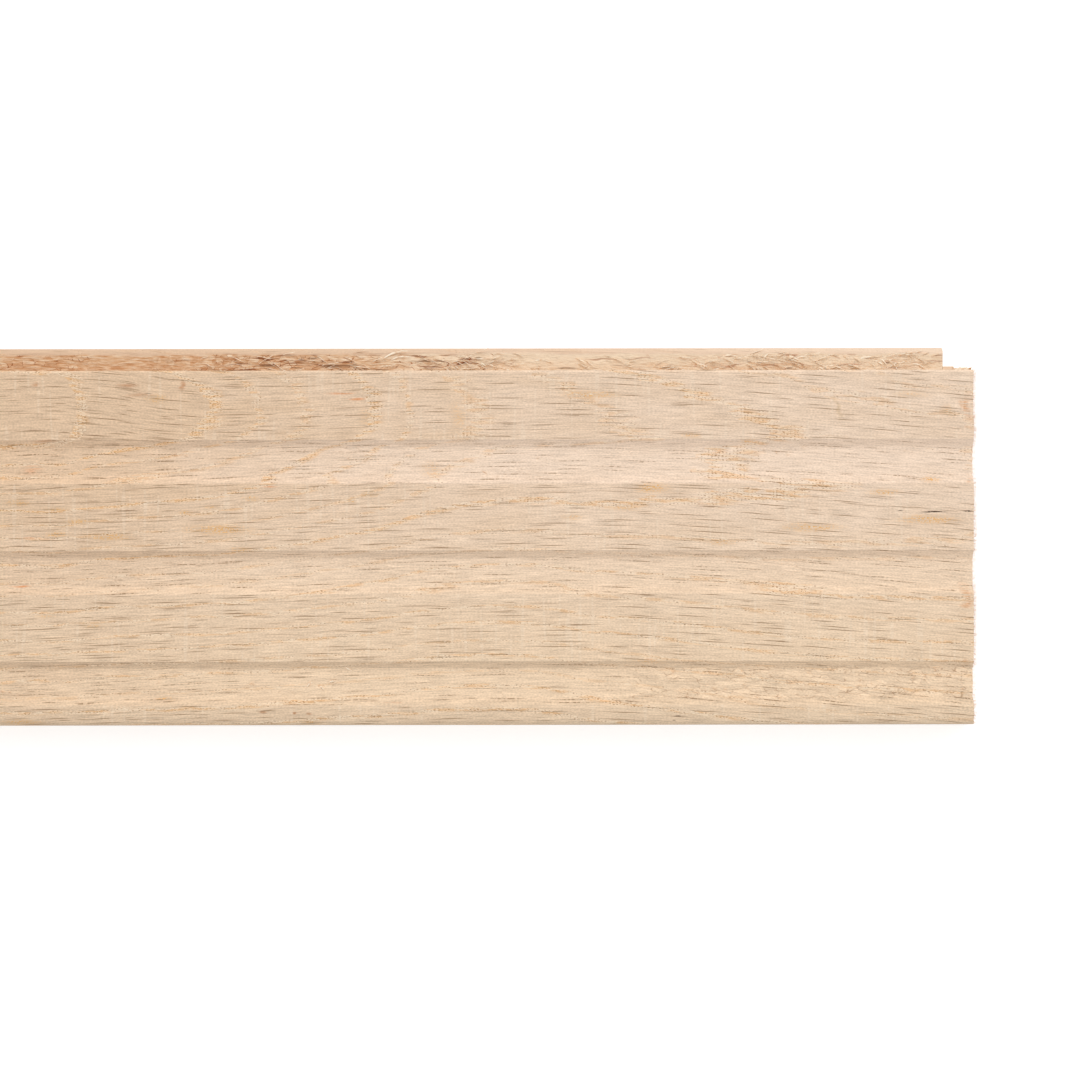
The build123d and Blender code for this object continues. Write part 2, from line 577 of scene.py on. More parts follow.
def tearTree(material):
    sizes = {
        "Flank depth": tearOut["flankDepth"],
        "Channel depth": tearOut["channelDepth"],
        "End depth": tearOut["endDepth"],
    }
    tree, given, result = newGeometryTree("tearing", sizes)
    p = boardPlaces(Field(tree, tree.nodes.new("GeometryNodeInputPosition").outputs[0]))
    t = tearFields(p)
    flank = (
        t["torn"] * (t["cracksAndUnderShade"] * 0.25 + t["lift"] * 0.55 + rise(t["strands"], 0.62, 0.38) * 0.45)
        + t["flank"] * t["rifts"] * 0.35
    ) * given["Flank depth"]
    chop = cloud(place(p["x"] * 0.55, p["y"] * 1.1, 1.0), 3.0, 0.6)
    furrow = cloud(place(p["x"] * 0.06, p["y"] * 1.2, 6.0), 2.0)
    torn = t["cracksAndUnderShade"] * 0.5 + t["lift"] * 0.5 + rise(chop, 0.4, 0.66) * 0.4 + rise(furrow, 0.4, 0.7) * 0.2
    channel = roughField(p) * torn * given["Channel depth"]
    atEnd = rise(p["x"], backGroovedEnd - 0.35, backGroovedEnd - 0.05)
    fray = cloud(place(p["y"] * 1.5, p["z"] * 0.5, 2.0), 2.0, 0.7)
    inward = atEnd * rise(fray, 0.35, 0.7) * given["End depth"]
    offset = place(inward * -mm, 0.0, (flank + channel) * -mm)
    moved = shapeNode(tree, "SetPosition", {"Geometry": given["Geometry"], "Offset": offset})
    paintShape(tree, moved, material, result)
    return tree, sizes


# The oak

def tone(red, green, blue):     # a colour as read off a screen, 0 to 255
    return (*[((c / 255 + 0.055) / 1.055) ** 2.4 for c in (red, green, blue)], 1.0)


oak = {
    "pale": tone(237, 212, 188),
    "straw": tone(239, 212, 181),
    "tan": tone(223, 193, 162),
    "white": tone(240, 220, 202),
    "early": tone(226, 172, 112),
    "pore": tone(146, 100, 62),
    # painted highlight on the pores' rims
    "rimHighlight": tone(250, 230, 202),
    "ray": tone(148, 116, 86),
    "knifeMark": tone(248, 232, 210),
    # painted shadow under the lifted scales on the channel floors
    "chipShadow": tone(156, 114, 78),
    "strength": {"early": 0.64, "ray": 0.96, "pore": 0.62, "rimHighlight": 0.65, "knifeMark": 0.22, "chipShadow": 0.55},
    "poreSpacing": (1.25, 0.5),     # along and across
    "longRays": (23.0, 2.2, 0.5, 0.08, 0.0),    # length, spacing, and reach and width as shares, seed
    "shortRays": (12.0, 1.45, 0.5, 0.12, 7.3),
    "rayCrowding": [            # how many short rays there are, along the board
        (-461, 0.4), (-150, 0.7), (110, 0.9), (165, 0.85), (195, 0.5), (300, 0.35), (461, 0.4),
    ],
    "heart": [                  # how far the wood has darkened towards tan, along the board
        (-461, 0.75), (-120, 0.95), (117, 1.22), (190, 0.86), (290, 0.4), (370, 0.22), (461, 0.1),
    ],
    "farWallShade": (0.055, 0.08, 0.14),    # painted shade on each channel's wall that faces away from the lamp
    # painted shade that tones down the light on the third channel's wall that faces the lamp
    "nearWallShade": (0.0, 0.0, 0.045),
    "wallReach": 2.5,
    "thirdLand": 0.02,          # how much darker this land is
    "edgeShades": [             # and the last land, past its channel, in painted shade that deepens as the back rounds away from the lamp: from, to, how much
        (0.0, 1.6, 0.08), (2.6, 6.6, 0.07), (6.5, 8.0, 0.12),
    ],
    "brightness": 0.972,
    "streaks": 0.26,
    "fibres": 0.7,
    "grit": 0.38,
    "roughness": 0.78,
    "shine": 0.25,
    "bump": 0.9,
}

flankTones = {                  # torn wood: browner at the left, fresher towards the grooved end
    "dark": (tone(204, 142, 94), tone(222, 170, 132)),
    "middle": tone(232, 190, 150),
    "light": tone(252, 226, 196),
    "stain": (tone(166, 94, 46), tone(204, 136, 98)),
    "rift": tone(120, 62, 32),
    "nose": (tone(222, 186, 156), tone(244, 216, 190)),
    "nosePale": [(-461, 0.3), (117, 0.0), (240, 0.1), (330, 0.3), (380, 0.7), (461, 1.0)],
    "ripe": [(-461, 0.4), (117, 0.12), (232, 0.26), (262, 0.62), (310, 0.8), (345, 0.8), (461, 1.2)],
}

endTones = {
    "wood": tone(206, 168, 128),
    "ray": tone(228, 198, 160),
    "early": tone(184, 140, 98),
}

marks = {                       # what this one board has: x, y, reach along and across, strength
    "rust": [
        (172.5, 48.6, 5, 1.3, 0.7), (246, 42, 6, 4, 0.35), (278, 42, 7, 8, 0.3), (268, 24, 7, 4, 0.35),
        (325, 49.9, 11, 1.0, 0.8), (359.3, 35.8, 5, 0.8, 0.6), (380, 33.7, 5, 0.6, 0.7),
        (346.3, 17.2, 6.5, 1.3, 0.9), (334.7, 10.6, 10, 1.5, 0.5), (318, 7.0, 6, 0.9, 0.6),
        (402, 3.2, 11, 1.0, 0.9), (371.6, -2.1, 7, 0.9, 0.7), (442.4, 6.0, 12, 1.1, 0.9),
        (428, 15.5, 8, 1.0, 0.7), (443.5, 20, 4, 0.7, 0.8), (437, 49.6, 12, 1.4, 0.35),
        (448.8, 44.6, 4, 2.5, 0.4), (123, 12.3, 4.5, 0.7, 0.9), (136.5, 9.9, 5, 0.6, 0.6),
        (144.5, 5.6, 6, 0.8, 0.7), (136.8, 1.1, 6, 0.7, 0.8), (155.4, 0.4, 7.5, 0.9, 1.0),
        (193.3, 2.8, 11.5, 1.0, 1.0), (182, 8.8, 3.5, 0.7, 0.8), (190.5, 10.9, 3.4, 0.5, 0.6),
        (205, 13.7, 3.6, 0.8, 0.7), (240, 13, 2.2, 1.0, 0.7), (247, 15.1, 4, 0.8, 0.7),
        (252.6, 4.2, 6, 0.8, 0.5), (203, -4.5, 5.5, 0.7, 0.7), (133.7, -27.7, 8, 0.9, 0.4),
        (150.5, -31.2, 5.5, 0.6, 0.6), (125, -64.8, 8, 0.8, 0.8), (174, -56.5, 4.5, 0.6, 0.6),
        (225.6, -64.8, 3.5, 0.6, 0.7), (345, -43.6, 14, 0.9, 0.4),
    ],
    "blush": [
        (127, 24, 13, 5, 0.35), (236, 50.8, 9, 0.9, 0.8), (243, 48.4, 6, 1.1, 0.7), (128, 0, 8, 2, 0.3),
        (122.8, -16.8, 6, 0.6, 0.8), (254.4, -57.9, 4, 0.5, 0.9), (210.9, 17.9, 5, 0.7, 0.7),
        (345, -43, 5, 0.8, 0.5),
    ],
    "bruise": [
        (129, 53.9, 5, 2.4, 0.5), (162, 53.4, 6.5, 1.1, 0.8), (166, 50, 13, 2.2, 0.4),
        (181, 53.4, 1.3, 3.2, 0.8), (209.9, -61.4, 2.0, 0.7, 1.0), (220.6, -61.7, 1.4, 0.7, 1.0),
        (226, -62, 2.0, 0.6, 0.9), (133, 34.0, 12, 1.4, 0.5),
    ],
    # a painted shade across the first land
    "shade": [(411.5, 45, 3.2, 12, 0.35)],
    "stain": [
        (456.5, 45, 3.5, 9, 0.75), (457, 20, 2.5, 6, 0.4), (456, -22, 4.5, 10, 0.7), (456, -44, 4, 6, 0.4),
    ],
    "split": [
        (444.8, 8.7, 5.4, 0.5, 1.0), (457.0, 8.9, 2.2, 0.5, 0.9), (432.3, 9.3, 2.4, 0.4, 0.6),
        (169.4, 50.6, 2.6, 0.35, 0.5), (355.5, -62.9, 3.0, 0.45, 0.7), (353, -64.2, 1.5, 0.4, 0.6),
    ],
    "rift": [                   # these lie on the tongue's flank
        (226.8, 63.3, 4.4, 0.45, 0.8), (235.8, 60.5, 11, 0.7, 1.0), (248.8, 59.3, 5.3, 0.5, 1.0),
        (268.2, 62.1, 9, 0.45, 1.0), (285, 63.4, 3.7, 0.35, 0.7), (317, 59.5, 5.4, 0.5, 0.9),
        (334, 60.7, 5, 0.35, 0.6), (210, 60.8, 6, 0.7, 0.9), (219.5, 60.2, 3, 0.5, 0.8),
        (352.3, 60.9, 3.6, 0.35, 0.6), (371, 59.7, 4.4, 0.45, 0.6), (379.6, 62.1, 2.2, 0.35, 0.7),
        (393.8, 59.8, 1.8, 0.5, 1.0), (429.8, 61.4, 1.6, 0.5, 0.9), (438.4, 60.7, 3, 0.3, 0.8),
    ],
    "spread": {"rust": (1.45, 2.3), "split": (1.2, 0.9)},   # these reach so many times farther
    "tones": {
        "rust": tone(218, 170, 112),
        "blush": tone(218, 148, 100),
        "bruise": tone(190, 138, 100),
        "shade": tone(206, 178, 143),
        "stain": tone(208, 150, 102),
        "split": tone(64, 40, 24),
        "rift": tone(136, 86, 50),
    },
}


def blend(amount, first, second):
    source = next(v for v in (amount, first, second) if isinstance(v, Field))
    node = addNode(source.tree, "ShaderNodeMix", data_type="RGBA", clamp_factor=True)
    plug(source.tree, node.inputs[0], amount)
    plug(source.tree, node.inputs[6], first)
    plug(source.tree, node.inputs[7], second)
    return Field(source.tree, node.outputs[2])


def shaded(colour, factor):
    node = addNode(colour.tree, "ShaderNodeVectorMath", {0: colour, "Scale": factor}, operation="SCALE")
    return Field(colour.tree, node.outputs[0])


def distanceTo(where, x, y, longways, sideways):    # 1 on the rim of an ellipse
    tree = where.tree
    scaled = addNode(
        tree, "ShaderNodeVectorMath",
        {0: where, 1: (1 / longways, 1 / sideways, 0), 2: (-x / longways, -y / sideways, 0)},
        operation="MULTIPLY_ADD",
    )
    far = addNode(tree, "ShaderNodeVectorMath", {0: Field(tree, scaled.outputs[0])}, operation="LENGTH")
    return Field(tree, far.outputs["Value"])


def marked(p, colour, kind, showing):   # one kind of mark, as far as the grain lets it show
    nearest = 9.0
    longer, wider = marks["spread"].get(kind, (1.0, 1.0))
    where = place(p["x"] + p["quick"] * 9.0, p["y"] - p["quick"] * 1.8)
    for x, y, longways, sideways, strength in marks[kind]:
        away = distanceTo(where, x, y, longways * longer, sideways * wider)
        nearest = least(away + (1 - strength) * 0.75, nearest)
    return blend(rise(nearest, 1.0, 0.25) * showing, colour, marks["tones"][kind])


def grainFields(p, normal):     # the year's rings and the fibres, followed across the board
    rings = ringField(p)
    season = calc("FRACT", rings["count"])
    vigour = speckle(place(calc("FLOOR", rings["count"]), 1.0)) * 0.8 + 0.35
    onSide = rise(abs(normal[1]), 0.8, 0.92)
    drift = curveOf(p["x"], growth["fibreDrift"])
    drift = drift + curveOf(p["x"], growth["knotDrift"]) * rise(p["y"], 24.0, 44.0)
    across = p["y"] + drift + (p["z"] - back) * (onSide * 0.8 + 0.25) + p["quick"] * 0.5 + p["slow"] * 2.0
    return {
        "rings": rings,
        "early": rise(season, 0.0, 0.04) * rise(season, 0.28, 0.14) * vigour,
        "late": rise(season, 0.45, 0.95),
        "across": across,
        "streaks": cloud(place(p["x"] * 0.03, across * 0.9, 3.0), 4.0, 0.6),
        "fibres": cloud(place(p["x"] * 0.12, across * 1.9, 5.0), 2.0, 0.6),
        "grit": cloud(place(p["x"] * 1.3, across * 2.4, 9.0), 0.0),
        "mottle": cloud(place(p["x"] * 0.035, across * 0.12, 8.0), 3.0, 0.55),
        "channel": channelField(p),
        "rough": roughField(p),
    }


def plainColour(p, g):          # tan heartwood, paler towards the grooved side and end
    heart = curveOf(p["x"], oak["heart"])
    landSide = rise(p["y"], -30.0, 40.0)
    depth = heart * (landSide * 0.72 + 0.33) + (g["mottle"] - 0.5) * 0.9 + g["late"] * 0.14
    depth = depth - g["channel"] * rise(p["x"], 120.0, 260.0) * 0.3
    colour = blend(depth, blend(rise(p["y"], 25.0, -50.0), oak["pale"], oak["straw"]), oak["tan"])
    whiter = g["channel"] * rise(p["y"], 5.0, 15.0) * rise(p["x"], 100.0, 260.0)
    colour = blend(whiter * 0.25, colour, oak["white"])
    flecked = cloud(place(p["x"] * 0.09, g["across"] * 0.8, 12.0), 1.0)
    band = g["early"] * rise(flecked, 0.44, 0.58)
    return blend(band * oak["strength"]["early"], colour, oak["early"])


def weathered(p, g, colour):    # ochre streaks and bruises, and one painted shade
    speckled = rise(g["grit"], 0.44, 0.56) * rise(g["fibres"], 0.36, 0.54) * 0.88 + 0.12
    colour = marked(p, colour, "rust", speckled)
    colour = marked(p, colour, "blush", rise(g["fibres"] + g["streaks"], 0.85, 1.15))
    colour = marked(p, colour, "bruise", g["fibres"] * 1.4)
    colour = marked(p, colour, "shade", 1.0)
    return marked(p, colour, "stain", rise(g["fibres"], 0.45, 0.58) * 0.75)


def darkerLandAndEdgeShade(p):
    secondEdge = channelMiddles[1] - halfChannel
    lastLand = channelMiddles[2] - halfChannel
    darker = between(p["y"], channelMiddles[2] + halfChannel, secondEdge, 0.3) * oak["thirdLand"]
    # painted shade towards the grooved edge, where the back turns from the lamp
    for start, stop, much in oak["edgeShades"]:
        darker = darker + rise(p["y"], lastLand - start, lastLand - stop) * much
    return darker


def paintedWallShade(p, g):          # painted shade on the channels' walls that face away from the lamp, darkest along a ragged top, and painted shade or light on the walls that face it
    farther = 1 - rise(p["x"], 280.0, 440.0) * 0.5
    nearer = rise(p["x"], 260.0, 150.0) * 0.06
    ragged = rise(g["fibres"], 0.42, 0.58) * 0.11
    reach = oak["wallReach"]
    wallShade = 0
    for middle, far, near in zip(channelMiddles, oak["farWallShade"], oak["nearWallShade"]):
        start, stop = middle - halfChannel, middle + halfChannel
        # painted shade: a ragged dark line along the top of the wall that faces away from the lamp, then
        # that whole wall
        wallShade = wallShade + between(p["y"], stop - 0.4, stop, 0.12) * ragged
        wallShade = wallShade + between(p["y"], stop - reach, stop, 0.2) * (farther * far)
        # the wall that faces the lamp: painted shade in the third channel, painted light towards the left
        wallShade = wallShade + between(p["y"], start, start + reach, 0.2) * (near - nearer)
    return wallShade


def brightness(p, g):           # fibres and grit, and how each part of the section catches the light
    # painted highlight along the tongued arris, the bevel that faces the lamp
    arris = between(p["y"], shoulder - milling["tonguedArris"], shoulder, 0.15) * rise(p["z"], 15.0, 16.0)
    # painted light on the ledge past the tongue's end, which lies in the back's shade
    ledgeLight = rise(p["y"], shoulder, shoulder + 0.3) * rise(p["x"], tongueStop, tongueStop + 1)
    ledgeLight = ledgeLight * rise(p["z"], 8.5, 7.5)
    # the channels' wood is paler; the arris and the ledge add painted highlight and painted light
    paler = g["channel"] * (rise(p["y"], 5.0, 15.0) * 0.035 + 0.012) + arris * 0.08 + ledgeLight * 0.35
    grain = (g["streaks"] - 0.5) * oak["streaks"] + (g["fibres"] - 0.5) * oak["fibres"]
    grain = grain + (g["grit"] - 0.5) * oak["grit"] + oak["brightness"]
    return grain - darkerLandAndEdgeShade(p) - paintedWallShade(p, g) + paler


def openGrain(p, g, colour):    # rays, pores with a lit rim, and planer marks across the lands
    tree = p["x"].tree
    along, beside = oak["poreSpacing"]
    where = place(p["x"] / along, g["across"] / beside)
    fine = cells(where)
    luck, size, _ = parts(tree, fine.outputs["Color"])
    distance = Field(tree, fine.outputs["Distance"]) * (size * 0.5 + 0.75)
    lower = parts(tree, fine.outputs["Position"])[1] - parts(tree, where.socket)[1]
    chance = g["early"] * 0.9 + 0.015
    pores = rise(distance, 0.34, 0.14) * rise(luck, 1 - chance * 0.55, 1.04 - chance * 0.55)
    # painted highlight on each pore's lower rim, the side that faces the lamp
    rimHighlights = rise(distance, 0.7, 0.45) * rise(luck, 1 - chance, 1.05 - chance) * rise(lower, -0.15, 0.1)

    wide, wideLuck = spindles(p, g["across"], *oak["longRays"])
    narrow, narrowLuck = spindles(p, g["across"], *oak["shortRays"])
    crowded = curveOf(p["x"], oak["rayCrowding"]) * 0.8
    narrow = narrow * rise(narrowLuck, 1.0 - crowded, 1.2 - crowded) * 0.8
    chopped = rise(cloud(place(p["x"] * 0.9, g["across"] * 0.8, 2.0), 1.0), 0.45, 0.6)
    rays = most(wide * rise(wideLuck, 0.1, 0.6), narrow) * (1 - g["channel"] * chopped * 0.7)

    tick = cloud(place(p["x"] * 0.7, p["y"] * 0.045, 1.0), 0.0)
    onLand = (1 - g["channel"]) * rise(p["z"], back - 0.6, back - 0.3)
    knives = rise(tick, 0.66, 0.72) * rise(g["fibres"], 0.35, 0.6) * onLand

    strength = oak["strength"]
    colour = blend(rays * strength["ray"], colour, oak["ray"])
    colour = blend(pores * strength["pore"], colour, oak["pore"])
    colour = blend(most(rimHighlights - pores, 0.0) * strength["rimHighlight"], colour, oak["rimHighlight"])
    colour = blend(knives * strength["knifeMark"], colour, oak["knifeMark"])
    return marked(p, colour, "split", rise(g["grit"], 0.2, 0.45))


def tornFloors(g, t, colour):   # lifted scales on the channel floors, with painted shadow in the chips between
    lifting = (t["lift"] - 0.55) * rise(g["rough"], 0.3, 0.9) * 0.16
    colour = shaded(colour, lifting + 1)
    colour = shaded(colour, rise(g["rough"], 0.4, 0.9) * 0.05 + 1)
    chipShadows = t["cracksAndUnderShade"] * rise(g["rough"], 0.35, 0.9)
    return blend(chipShadows * oak["strength"]["chipShadow"], colour, oak["chipShadow"])


def tornFlank(p, t, colour):    # the tongue's pale nose, and behind it the torn flank
    tones = flankTones
    nose = rise(p["y"], shoulder, shoulder + 0.3) * rise(p["z"], 10.0, 11.0)
    colour = blend(nose * 0.6, colour, blend(curveOf(p["x"], tones["nosePale"]), *tones["nose"]))
    fresher = rise(p["x"], 280.0, 340.0)
    slope = rise(p["y"], shoulder + 2.5, tip - 2.5) * rise(p["x"], 240.0, 320.0) * 0.2
    light = t["strands"] * (1.9 - fresher * 0.7) + curveOf(p["x"], tones["ripe"]) * 0.6
    light = light + slope + fresher * 0.35 - 0.62
    light = light + (t["hue"] - 0.5) * t["torn"] * (0.3 + fresher * 0.5)
    raw = blend(rise(light, 0.05, 0.5), blend(fresher, *tones["dark"]), tones["middle"])
    raw = blend(rise(light, 0.4, 0.8), raw, tones["light"])
    stained = blend(fresher, *tones["stain"])
    # the cracks and their painted shade, in a stained brown
    raw = blend(rise(t["cracksAndUnderShade"] * t["torn"], 0.1, 0.6) * (0.85 - fresher * 0.3), raw, stained)
    raw = blend(t["rifts"] * (0.75 - fresher * 0.25), raw, blend(0.4, stained, tones["rift"]))
    raw = marked(p, raw, "rift", rise(t["strands"], 0.3, 0.48) * 0.8)
    return blend(t["flank"], colour, raw)


def endGrain(p, g):             # the rings cut across, and rays running out from the pith
    rings = g["rings"]
    angle = calc("ARCTAN2", rings["side"], rings["up"])
    spokes = cloud(place(angle * 95.0, rings["radius"] * 0.12, 0.0), 2.0, 0.7)
    apart = oak["poreSpacing"][1]
    holes = cells(place(p["y"] / apart, p["z"] / apart))
    openPores = rise(Field(angle.tree, holes.outputs["Distance"]), 0.5, 0.25) * g["early"]
    colour = blend(rise(spokes, 0.45, 0.7) * 0.6, endTones["wood"], endTones["ray"])
    colour = blend(g["early"] * 0.4, colour, endTones["early"])
    return blend(openPores, colour, oak["pore"])


def newWood(name):              # a matt material, its shader, and the board's places to paint by
    material = bpy.data.materials.new(name)
    material.use_nodes = True
    tree = material.node_tree
    shader = tree.nodes["Principled BSDF"]
    shader.inputs["Roughness"].default_value = oak["roughness"]
    shader.inputs["Specular IOR Level"].default_value = oak["shine"]
    position = Field(tree, tree.nodes.new("ShaderNodeTexCoord").outputs["Object"])
    return material, shader, boardPlaces(position)


def makeOak():
    material, shader, p = newWood("rawOak")
    tree = material.node_tree
    normal = parts(tree, tree.nodes.new("ShaderNodeNewGeometry").outputs["Normal"])
    g = grainFields(p, normal)
    t = tearFields(p)
    colour = shaded(weathered(p, g, plainColour(p, g)), brightness(p, g))
    colour = tornFloors(g, t, openGrain(p, g, colour))
    colour = tornFlank(p, t, colour)
    colour = blend(rise(abs(normal[0]), 0.55, 0.8), colour, endGrain(p, g))
    tufts = cloud(place(p["x"] * 0.9, g["across"] * 2.4, 4.0), 2.0, 0.7)
    height = g["fibres"] * 0.08 + g["streaks"] * 0.06 + t["flank"] * t["strands"] * 0.8
    height = height + g["rough"] * tufts * 0.32
    bump = addNode(tree, "ShaderNodeBump", {"Height": height, "Distance": mm, "Strength": oak["bump"]})
    tree.links.new(colour.socket, shader.inputs["Base Color"])
    tree.links.new(bump.outputs[0], shader.inputs["Normal"])
    return material


rawOak = makeOak()
print("oak ready:", len(rawOak.node_tree.nodes), "nodes")

board = makeSkin()
tearing, tearSizes = tearTree(rawOak)
growOn(board, tearing, tearSizes)
board.data.shade_smooth()
board.data.set_sharp_from_angle(angle=math.radians(28))
print("board torn")

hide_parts("floorboard")
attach(board, "root")


# Fibres that the knives lifted: thin tapered slivers, rooted in the torn wood

lifted = {
    "flank": {"Density": 520000.0, "Length": 4.2, "Width": 0.75, "Tilt": 0.42, "Seed": 11.0},
    "channels": {"Density": 90000.0, "Length": 1.8, "Width": 0.42, "Tilt": 0.45, "Seed": 5.0},
    "end": {"Density": 3000000.0, "Length": 1.15, "Width": 0.17, "Tilt": 0.3, "Seed": 3.0},
    "bend": 0.35,
    "sunk": 0.12,
    "dark": tone(232, 190, 150),
    "pale": tone(255, 240, 218),
    "frayed": tone(214, 160, 110),
    "curlRounds": 9,
    "curlCorners": 6,
    "curls": [                  # long ones, placed one by one: x, y, z, heading, length, width, rise
        (251.0, 62.9, 13.7, 17, 10.5, 0.75, 1.6), (254.0, 62.6, 13.5, 9, 7.5, 0.6, 1.2),
        (291.5, 60.2, 13.2, -26, 7.5, 0.45, 3.6), (283, 62.3, 13.0, -20, 5.0, 0.9, 1.0),
        (286, 61.6, 13.0, -16, 5.0, 0.8, 1.2), (303, 61.4, 13.1, 14, 5.0, 0.6, 1.0),
        (396, 61.9, 13.1, 22, 5.5, 0.9, 1.4), (408, 60.4, 13.2, -12, 6.0, 0.8, 1.2),
        (424, 62.4, 13.0, -24, 4.5, 0.8, 1.6), (429, 61.2, 13.0, 30, 4.0, 0.7, 1.8),
        (385.2, 61.6, 13.1, 55, 4.2, 0.9, 1.4), (391.0, 64.3, 13.0, -14, 7.5, 1.2, 0.9),
        (403.5, 60.4, 13.1, -24, 4.6, 0.8, 1.2), (425.0, 64.0, 13.0, -38, 5.6, 0.7, 1.6),
        (430.5, 62.0, 13.0, -52, 4.0, 0.5, 2.0), (432.5, 59.9, 13.1, 28, 5.0, 0.5, 1.7),
        (418.5, 62.2, 13.1, 12, 6.5, 0.9, 1.2), (437.5, 61.2, 13.1, -18, 5.5, 0.6, 1.4),
        (360.5, 60.9, 13.1, -10, 6.0, 0.8, 1.1), (370.0, 63.2, 13.1, 8, 6.5, 0.7, 1.0),
        (224.5, -52.6, 16.9, 38, 2.8, 0.55, 1.2), (228.6, -52.2, 16.9, -32, 2.6, 0.5, 1.3),
        (232.0, -51.3, 16.9, 18, 3.0, 0.6, 1.4), (240.5, -46.8, 16.9, 150, 2.8, 0.5, 1.2),
        (452.6, 58.1, 14.3, 22, 3.4, 0.9, 0.3), (454.2, 58.2, 14.4, 28, 3.2, 0.8, 0.4),
        (455.8, 58.1, 14.3, 24, 3.4, 0.9, 0.2), (457.0, 58.2, 14.4, 34, 2.6, 0.7, 0.5),
        (453.6, 58.3, 14.2, 40, 2.4, 0.6, 0.1), (458.3, 58.0, 14.3, 120, 2.2, 0.7, 0.3),
        (284.5, -4.3, 17.0, 35, 3.2, 0.35, 1.6), (276, -3.6, 17.4, 160, 2.8, 0.3, 1.2),
        (252.6, -20.4, 18.2, 60, 2.4, 0.3, 0.8),
    ],
}


def makeTornFibre():
    material, shader, p = newWood("liftedFibre")
    strands = cloud(place(p["x"] * 0.4, p["y"] * 2.4, p["z"] * 2.4), 2.0)
    atEnd = rise(p["x"], backGroovedEnd - 1.5, backGroovedEnd - 0.5)
    colour = blend(rise(strands, 0.3, 0.55), lifted["dark"], lifted["pale"])
    colour = blend(atEnd, colour, lifted["frayed"])
    plug(colour.tree, shader.inputs["Base Color"], colour)
    return material


def sliverShape(tree, bend):    # one sliver, 1 long and 1 wide, its tip bent up
    line = shapeNode(tree, "CurvePrimitiveLine", {"Start": (0, 0, 0), "End": (1, 0, 0)})
    line = shapeNode(tree, "ResampleCurve", {"Curve": line, "Count": 7})
    along = Field(tree, tree.nodes.new("GeometryNodeSplineParameter").outputs["Factor"])
    lift = place(0.0, calc("SINE", along * 5.0) * 0.12, along * along * bend)
    bent = shapeNode(tree, "SetPosition", {"Geometry": line, "Offset": lift})
    thick = calc("SINE", along * 2.75 + 0.35)
    tapered = shapeNode(tree, "SetCurveRadius", {"Curve": bent, "Radius": thick})
    ring = shapeNode(tree, "CurvePrimitiveCircle", {"Resolution": 5, "Radius": 0.5})
    flat = shapeNode(tree, "Transform", {"Geometry": ring, "Scale": (0.22, 1, 1)})
    return shapeNode(tree, "CurveToMesh", {"Curve": tapered, "Profile Curve": flat, "Fill Caps": True})


def chances(tree, lowest, highest, seed):   # three random numbers for each sliver
    limits = {0: lowest, 1: highest, "Seed": seed}
    node = addNode(tree, "FunctionNodeRandomValue", limits, data_type="FLOAT_VECTOR")
    return parts(tree, node.outputs[0])


def liftedTree(name, where, sizes, material):
    tree, given, result = newGeometryTree(name, sizes)
    p = boardPlaces(Field(tree, tree.nodes.new("GeometryNodeInputPosition").outputs[0]))
    sown = {"Mesh": given["Geometry"], "Density": where(p) * given["Density"], "Seed": given["Seed"]}
    points = shapeNode(tree, "DistributePointsOnFaces", sown)
    tiltX, tiltY, heading = chances(tree, (-0.1, -1.0, -0.6), (0.1, -0.15, 0.6), 1)
    longer, wider, thicker = chances(tree, (0.45, 0.45, 0.4), (1.3, 1.3, 1.2), 2)
    length, width = given["Length"], given["Width"]
    stood = shapeNode(tree, "InstanceOnPoints", {
        "Points": points,
        "Instance": sliverShape(tree, lifted["bend"]),
        "Rotation": place(tiltX, tiltY * given["Tilt"], heading),
        "Scale": place(longer * length * mm, wider * width * mm, thicker * width * mm),
    })
    real = shapeNode(tree, "RealizeInstances", {0: stood})
    height = least(p["z"] - lifted["sunk"], back)
    inBox = place(least(p["x"], wearGroovedEnd) * mm, least(p["y"], tip) * mm, height * mm)
    sunk = shapeNode(tree, "SetPosition", {"Geometry": real, "Position": inBox})
    paintShape(tree, sunk, material, result)
    return tree


def onFlank(p):
    t = tearFields(p)
    spots = cloud(place(p["x"] * 0.1, p["y"] * 0.3, 21.0), 2.0)
    stretch = rise(p["x"], 170.0, 250.0) * rise(p["x"], tongueStop - 2.0, tongueStop - 5.0)
    return t["torn"] * (rise(spots, 0.5, 0.62) + 0.15) * stretch


def inChannels(p):
    spots = cloud(place(p["x"] * 0.06, p["y"] * 0.2, 33.0), 2.0)
    return channelField(p) * rise(roughField(p), 0.2, 1.0) * rise(spots, 0.48, 0.62)


def atGroovedEnd(p):
    inwards = p["x"] - backGroovedEnd
    face = rise(inwards, -0.25, -0.15) * rise(inwards, 0.1, 0.0)
    return face * rise(p["z"], back - 3.5, back - 2.5)


def growSlivers(name, where, sizes, material):
    piece = addObject(name, board.data.copy())
    growOn(piece, liftedTree(name, where, sizes, material), sizes)
    piece.data.shade_smooth()
    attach(piece, "root")
    print(name, len(piece.data.polygons), "faces")


def curlRing(curl, share):      # the points round a long sliver, at a share of its length
    x, y, z, heading, length, width, climb = curl
    corners = lifted["curlCorners"]
    turn = math.radians(heading)
    sway = math.sin(share * 3.4) * length * 0.09
    half = width / 2 * math.sin(0.45 + 2.6 * share)
    ring = []
    for corner in range(corners):
        angle = 2 * math.pi * corner / corners
        aside = sway + math.cos(angle) * half
        ring.append((
            (x + length * share * math.cos(turn) - aside * math.sin(turn)) * mm,
            (y + length * share * math.sin(turn) + aside * math.cos(turn)) * mm,
            (z + climb * share * share + math.sin(angle) * half * 0.3) * mm,
        ))
    return ring


